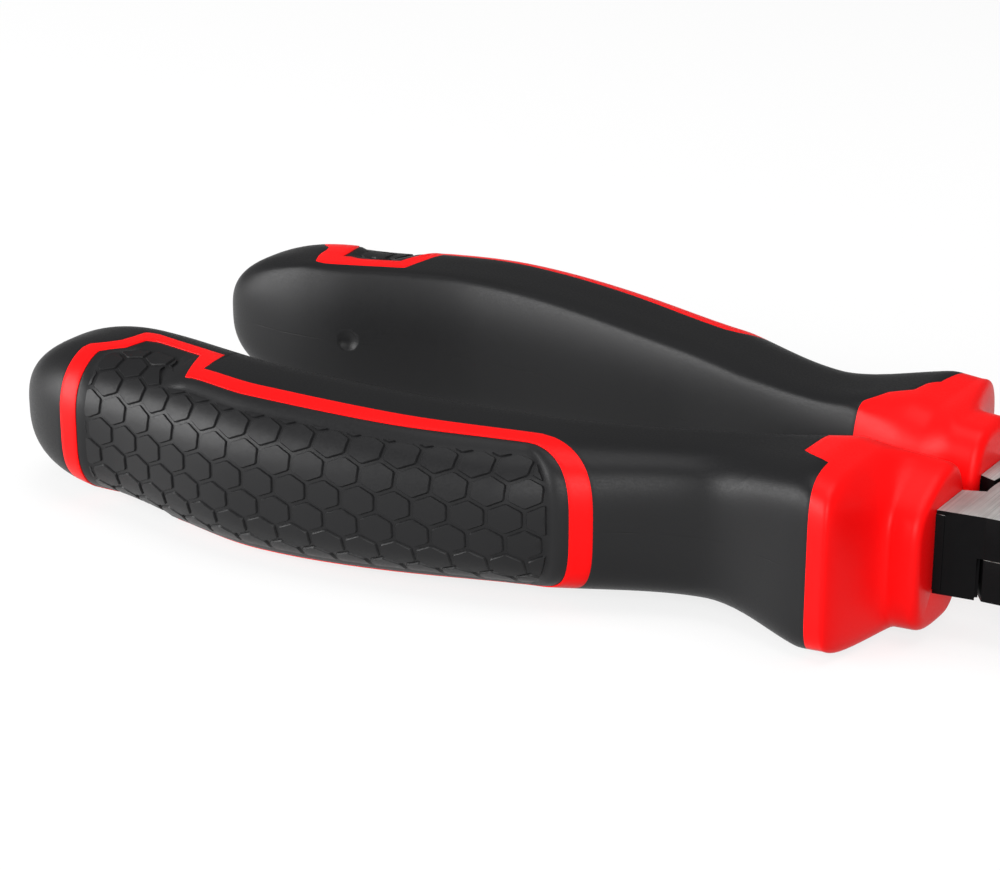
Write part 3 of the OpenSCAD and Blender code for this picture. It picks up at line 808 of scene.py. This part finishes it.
# tables that lead from flat tile coordinates to the palm and back
palmMap = {
    "at": (50, 132, 0.5),      # first, last and step, behind the pivot
    "sectionMarks": 240,
    "girth": (0, 22, 0.05),    # first, last and step, round the section
    "sideMarks": 400,          # on each long side of the field's outline
    "endMarks": 59,
}
arcAt = np.arange(*palmMap["at"])
arcSide = skinPoint(arcAt, 0.0)
arcLength = np.concatenate([[0], np.cumsum(np.linalg.norm(np.diff(arcSide, axis=0), axis=1))])
arcLength -= np.interp(panelTiles["firstAt"], arcAt, arcLength)
# lengths round each section from the outer face to the top, with close marks near the outer face
sectionShares = np.linspace(0, 1, palmMap["sectionMarks"])
sectionSteps = np.linalg.norm(np.diff(skinPoint(arcAt[:, None], 90 * sectionShares ** 2), axis=1), axis=2)
girths = np.concatenate([np.zeros((len(arcAt), 1)), np.cumsum(sectionSteps, axis=1)], axis=1)
girthMarks = np.arange(*palmMap["girth"])
girthShares = np.stack([np.interp(girthMarks, girth, sectionShares) for girth in girths])


def tableValue(table, at, column):
    # between the table's four nearest values; its last row and column are never the first of a pair
    lastRow, lastColumn = (size - 1.001 for size in table.shape)
    row = np.clip((at - arcAt[0]) / (arcAt[1] - arcAt[0]), 0, lastRow)
    column = np.clip(column, 0, lastColumn)
    i, j = row.astype(int), column.astype(int)
    first, second = (mix(table[k, j], table[k, j + 1], column - j) for k in (i, i + 1))
    return mix(first, second, row - i)


def fieldSpot(u, w):
    # flat tile coordinates to a place on the grip: along its curve, and round its section
    at = np.interp(u, arcLength, arcAt)
    return at, np.sign(w) * 90 * tableValue(girthShares, at, np.abs(w) / girthMarks[1]) ** 2


def flatSpot(at, angle):
    share = np.sqrt(np.minimum(np.abs(angle), 90) / 90)
    girth = tableValue(girths, at, share * (len(sectionShares) - 1))
    return np.interp(at, arcAt, arcLength), np.sign(angle) * girth


# the field's outline at the slope's foot; at the rear the tiles run into the slope
tileFirst = fieldFirst + panelTiles["clear"]
tileLast = fieldLast + panelTiles["rearRun"] * panelField["rearSlope"]
sideBases = np.linspace(tileFirst, tileLast, palmMap["sideMarks"])
endTurns = np.linspace(-1, 1, palmMap["endMarks"] + 2)[1:-1]
sideTurns, endBases = np.ones_like(sideBases), np.ones_like(endTurns)
fieldOutline = []
for base, turn in ((sideBases, sideTurns), (tileLast * endBases, endTurns[::-1]),
                   (sideBases[::-1], -sideTurns), (tileFirst * endBases, endTurns)):
    footAngle, rimAngle = (np.where(turn > 0, edgeAngle(base, k, otherBorder), edgeAngle(base, k))
                           for k in (slopeEnd + panelTiles["clear"], borderWidth))
    angle = turn * footAngle
    reach = panelReach(base, np.abs(angle) / rimAngle, angle)
    fieldOutline += list(zip(*(v.tolist() for v in flatSpot(reach, angle))))


def towards(p, q, share):
    return tuple(mix(a, b, share) for a, b in zip(p, q))


def keepInside(corners, p, q):
    # the part of an outline on the left of the line from p to q
    nx, ny = p[1] - q[1], q[0] - p[0]
    kept = []
    for c, d in zip(corners, corners[1:] + corners[:1]):
        fc, fd = ((v[0] - p[0]) * nx + (v[1] - p[1]) * ny for v in (c, d))
        if fc >= 0:
            kept.append(c)
        if (fc >= 0) != (fd >= 0):
            kept.append(towards(c, d, fc / (fc - fd)))
    return kept


def areaOf(corners):
    return 0.5 * abs(sum(a[0] * b[1] - b[0] * a[1] for a, b in zip(corners, corners[1:] + corners[:1])))


def spreadSides(corners):
    # points along the outline, neither too close nor too far apart
    least, most = panelTiles["sideStep"]
    points = []
    for p, q in zip(corners, corners[1:] + corners[:1]):
        count = max(1, math.ceil(math.dist(p, q) / most))
        for k in range(count):
            point = towards(p, q, k / count)
            if not points or math.dist(point, points[-1]) > least:
                points.append(point)
    return points


def hexagonAt(u, w, inset):
    # a tile's outline with rounded corners, moved in from its cell by the inset
    halfPitch, halfHeight = panelTiles["pitch"] / 2, panelTiles["halfHeight"]
    shoulder = panelTiles["row"] - halfHeight
    cell = [(0, -halfHeight), (halfPitch, -shoulder), (halfPitch, shoulder),
            (0, halfHeight), (-halfPitch, shoulder), (-halfPitch, -shoulder)]
    scale = 1 - inset / halfPitch
    cell = [(u + x * scale, w + y * scale) for x, y in cell]
    points = []
    for k, corner in enumerate(cell):
        before, after = cell[k - 1], cell[(k + 1) % 6]
        first, last = (towards(corner, side, panelTiles["corner"] / math.dist(corner, side))
                       for side in (before, after))
        middle = tuple(0.25 * f + 0.25 * l + 0.5 * c for f, l, c in zip(first, last, corner))
        points += [first, middle, last]
    return points


tileOutlines = []
lowest, highest = (f(p[0] for p in fieldOutline) for f in (min, max))
for row in panelTiles["rows"]:
    for k in panelTiles["places"]:
        u = (k + 0.5 * (row % 2)) * panelTiles["pitch"]
        w = panelTiles["firstRow"] + row * panelTiles["row"]
        if not lowest - panelTiles["past"] < u < highest + panelTiles["past"]:
            continue
        cell = hexagonAt(u, w, panelTiles["groove"] / 2)
        kept = fieldOutline
        for p, q in zip(cell, cell[1:] + cell[:1]):
            kept = keepInside(kept, p, q) if len(kept) >= 3 else []
        if len(kept) >= 3 and areaOf(kept) > panelTiles["least"]:
            tileOutlines.append((spreadSides(kept), (u, w)))
print("tiles laid out:", len(tileOutlines))

# each tile: a leaning wall, a rounded edge, a face in two rings and a closed foot,
# flat at first and then wrapped onto the palm
flatPoints, flatFaces = [], []
tileHeight = panelField["floor"] - panelTiles["top"]
wallSteps = [(0, -panelTiles["foot"]),
             (panelTiles["draft"], tileHeight - panelTiles["edge"]),
             (panelTiles["draft"] + panelTiles["edge"], tileHeight)]
for corners, middle in tileOutlines:
    size, start = len(corners), len(flatPoints)
    inner = start + len(wallSteps) * size
    whole = areaOf(corners) > panelTiles["whole"]
    heart = middle if whole else tuple(sum(p[k] for p in corners) / size for k in (0, 1))
    for step, height in wallSteps:
        for p in corners:
            # a narrow tile's walls never cross its middle
            least, most = panelTiles["narrow"]
            share = min(step / max(math.dist(p, heart), least), most)
            flatPoints.append((*towards(p, heart, share), height))
    flatPoints += [(*towards(p, heart, 0.5), tileHeight) for p in corners]
    flatPoints.append((*heart, tileHeight))
    for k in range(size):
        n = (k + 1) % size
        for first in range(start, inner, size):
            flatFaces.append((first + k, first + n, first + size + n, first + size + k))
        flatFaces.append((inner + k, inner + n, inner + size))
    flatFaces.append(tuple(range(start + size - 1, start - 1, -1)))
tileMesh = bpy.data.meshes.new("leftTiles")
tileMesh.from_pydata(flatPoints, [], flatFaces)
leftTiles = newPiece("leftTiles", tileMesh)
flat = readPoints(leftTiles)
spotAt, spotAngle = fieldSpot(flat[:, 0], flat[:, 1])
writePoints(leftTiles, place(skinPoint(spotAt, spotAngle, panelField["floor"] - flat[:, 2])))
onlySelect(leftTiles)
bpy.ops.object.mode_set(mode="EDIT")
bpy.ops.mesh.select_all(action="SELECT")
bpy.ops.mesh.normals_make_consistent(inside=False)
bpy.ops.object.mode_set(mode="OBJECT")
smoothShade(leftTiles, panelTiles["sharp"])
onlySelect(leftPanel)
leftTiles.select_set(True)
bpy.ops.object.join()
dressPair(leftPanel, "rightPanel", "_palm_panel", panelRubber)
print("palm panels made")

# Hand guard: collar, groove and flange, with the pocket that the shank sits in
guardShape = {
    "front": 17.4,
    "edge": 1.2,           # rounding of the collar's front edge
    "edgeRings": 8,
    "rings": 30,           # along the collar, the groove and the flange
    "seamRun": 1,          # the last mm before the seam, where the rings lean over to it
    "seamRings": 8,
    "under": 1.6,          # depth of the rear face's step under the skin
    "rear": (-30.0, 10.0, 0.0),    # middle of the rear face
    "pocket": (2.7, 9.95),
    "pocketHalf": 4.7,
    "pocketEnd": 22.05,
    "pocketPast": 2,       # how far the pocket's cutter stands out in front
    "bevel": 0.16,
    "sharp": 45,           # degrees past which an edge is shaded sharp
    # the collar falls away to the outer side on the tooth's face, and stands higher on the other face
    "fall": 0.27,
    "fallSide": (5.0, 14.5),
    "stand": 0.095,
    "leanEnd": (21.8, 25.5),
}
guardAngles = angles[0]
seam = seamAt(guardAngles)
g = guardShape


def guardPoint(at, inset=0.0):
    points = skinPoint(at, guardAngles, inset)
    onCollar = 1 - smoothStep((at - g["leanEnd"][0]) / (g["leanEnd"][1] - g["leanEnd"][0]))
    toSide = smoothStep((points[:, 1] - g["fallSide"][0]) / (g["fallSide"][1] - g["fallSide"][0]))
    points[:, 2] *= 1 + onCollar * np.where(points[:, 2] < 0, -g["fall"] * toSide, g["stand"])
    return points


collarInner, collarOuter = gripShape["guard"][0][1:3]
frontMiddle = (-g["front"], mix(collarInner, collarOuter, gripShape["innerShare"]), 0.0)
seamStart = guardSeam["outer"] - g["seamRun"]
guardRows = [np.tile(frontMiddle, (columnCount + 1, 1))]
for k in range(g["edgeRings"] + 1):
    turn = math.pi / 2 * k / g["edgeRings"]
    guardRows.append(guardPoint(g["front"] + g["edge"] * (1 - math.cos(turn)), g["edge"] * (1 - math.sin(turn))))
for k in range(1, g["rings"] + 1):
    guardRows.append(guardPoint(mix(g["front"] + g["edge"], seamStart, k / g["rings"])))
for k in range(1, g["seamRings"] + 1):
    guardRows.append(guardPoint(mix(seamStart, seam, k / g["seamRings"])))
guardRows.append(guardPoint(seam, g["under"]))
guardRows.append(np.tile(g["rear"], (columnCount + 1, 1)))
leftGuard = gridPiece("leftGuard", len(guardRows) - 1, columnCount, np.stack(guardRows))
bpy.ops.mesh.primitive_cube_add(size=1)
pocket = bpy.context.object
low = place([-g["pocketEnd"], g["pocket"][0], -g["pocketHalf"]])
high = place([-g["front"] + g["pocketPast"], g["pocket"][1], g["pocketHalf"]])
pocket.scale = [float(v) for v in high - low]
pocket.location = [float(v) for v in (high + low) / 2]
useTool(leftGuard, pocket, "DIFFERENCE")
addBevel(leftGuard, g["bevel"], skinEdge["bevelled"])
applyAll(leftGuard)
smoothShade(leftGuard, g["sharp"])
dressPair(leftGuard, "rightGuard", "_hand_guard", redShell)
print("guards made")

# Steel: the forged halves and the rivet keep their CAD shape and get worked edges
steelShape = {
    "flatTurn": 0.4,       # degrees up to which neighbouring faces are one
    "edge": 0.22,
    "bevelled": 40,        # degrees past which an edge is bevelled, and shaded sharp
    "sharp": 30,
    "flatFrom": 0.9,       # upward share of a normal, on a ground face and on a cutter's slope
    "slopeFrom": 0.3,
    "cutFrom": 15.5,       # ahead of the pivot, where the bright cutters and teeth start
    "biteHalf": 1.2,
    # ribs that keep the light out of the gap beside the lap, on the left half:
    # angle about the pivot, inner and outer radius, lowest and highest point
    "ribs": [(148.4, 14.95, 15.6, -0.2, 5.08), (202.5, 14.7, 15.35, -5.08, -0.15)],
    "ribLength": 1.3,
}
rivetShape = {"flatFrom": 0.99, "rim": 0.5, "ring": 0.3, "ringDepth": 0.12}


def nodeCopy(nodeName, name):
    piece = newPiece(name, frame["nodes"][nodeName].data.copy())
    onlySelect(piece)
    bpy.ops.object.mode_set(mode="EDIT")
    bpy.ops.mesh.select_all(action="SELECT")
    bpy.ops.mesh.remove_doubles(threshold=weldGap)
    bpy.ops.mesh.dissolve_limited(angle_limit=math.radians(steelShape["flatTurn"]))
    bpy.ops.object.mode_set(mode="OBJECT")
    return piece


def addRib(half, flip, angle, near, far, low, high):
    turn = math.radians(flip * angle)
    centre = Vector((math.cos(turn) * (near + far), math.sin(turn) * (near + far), flip * (low + high))) / 2
    bpy.ops.mesh.primitive_cube_add(size=1, location=pivot + centre * mm, rotation=(0, 0, turn))
    rib = bpy.context.object
    rib.scale = Vector((far - near, steelShape["ribLength"], high - low)) * mm
    useTool(half, rib, "UNION")


for side, flip in (("left", 1), ("right", -1)):
    half = nodeCopy(side + "_plier_half", side + "Half")
    half.data.materials.clear()
    for material in (blackSide, groundFace, cutEdge):
        half.data.materials.append(material)
    for face in half.data.polygons:
        spot = (face.center - pivot) / mm
        upward = abs(face.normal.z)
        inBite = spot.x > steelShape["cutFrom"] and abs(spot.y) < steelShape["biteHalf"]
        if upward > steelShape["flatFrom"]:
            face.material_index = 1
        else:
            face.material_index = 2 if inBite or upward > steelShape["slopeFrom"] else 0
    addBevel(half, steelShape["edge"], steelShape["bevelled"])
    applyAll(half)
    for rib in steelShape["ribs"]:
        addRib(half, flip, *rib)
    smoothShade(half, steelShape["sharp"])
    dress(half, side + "_half", side + "_plier_half", None)
rivet = nodeCopy("pivot_rivet", "rivet")
pickFaces(rivet, lambda face: abs(face.normal.z) > rivetShape["flatFrom"])
bpy.ops.mesh.inset(thickness=rivetShape["rim"] * mm)
for depth in (-rivetShape["ringDepth"], rivetShape["ringDepth"]):
    bpy.ops.mesh.inset(thickness=rivetShape["ring"] * mm, depth=depth * mm)
bpy.ops.object.mode_set(mode="OBJECT")
smoothShade(rivet, steelShape["sharp"])
dress(rivet, "right_half", "pivot_rivet", rivetSteel)
print("steel made")

# the cores stay inside the grips as they are
coreRed = redPlastic("coreRed")
for side in ("left", "right"):
    core = frame["nodes"][side + "_grip_core"]
    core.data.materials.clear()
    core.data.materials.append(coreRed)

# Floor, light and background
studio = {
    "worldStrength": 0.18,
    "key": {"place": (-0.73, -0.62, 0.26), "size": (0.85, 0.5), "power": 13.0},
    "front": {"place": (0.48, -0.86, 0.36), "size": (0.7, 0.6), "power": 8.5},
    "top": {"place": (0.1, 0.0, 0.95), "size": (0.8, 0.8), "power": 5.5},
    "aim": (0, 0, 0.01),
    "floorSize": 24.0,
    "floorColour": "#787878",
    "floorRoughness": 0.9,
    "floorGlow": 0.78,     # the floor's white, as the camera, metal and glass see it
}
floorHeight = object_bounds()[0][2]
bpy.ops.mesh.primitive_plane_add(size=studio["floorSize"], location=(0, 0, 0))
floor = bpy.context.object
floor.name = "floor"
for vertex in floor.data.vertices:
    vertex.co.z = floorHeight
floorWhite, tree, shader = startMaterial("floorWhite", {
    "Base Color": hexColour(studio["floorColour"]),
    "Roughness": studio["floorRoughness"],
    "Emission Color": (1, 1, 1, 1),
})
path = addNode(tree, "ShaderNodeLightPath")
seen = path.outputs["Is Camera Ray"]
for ray in ("Is Glossy Ray", "Is Transmission Ray"):
    added = addNode(tree, "ShaderNodeMath", {"operation": "ADD", "use_clamp": True},
                    {0: seen, 1: path.outputs[ray]})
    seen = added.outputs[0]
glow = addNode(tree, "ShaderNodeMath", {"operation": "MULTIPLY", 1: studio["floorGlow"]}, {0: seen})
tree.links.new(glow.outputs[0], shader.inputs["Emission Strength"])
floor.data.materials.append(floorWhite)

world = bpy.data.worlds.new("studio")
bpy.context.scene.world = world
world.use_nodes = True
background = world.node_tree.nodes["Background"]
background.inputs["Color"].default_value = hexColour("#FFFFFF")
background.inputs["Strength"].default_value = studio["worldStrength"]

for name in ("key", "front", "top"):
    lamp = studio[name]
    aim = Vector(studio["aim"]) - Vector(lamp["place"])
    bpy.ops.object.light_add(type="AREA", location=lamp["place"],
                             rotation=aim.to_track_quat("-Z", "Y").to_euler())
    light = bpy.context.object
    light.name = name + "Light"
    light.data.shape = "RECTANGLE"
    light.data.size, light.data.size_y = lamp["size"]
    light.data.energy = lamp["power"]
print("studio set")
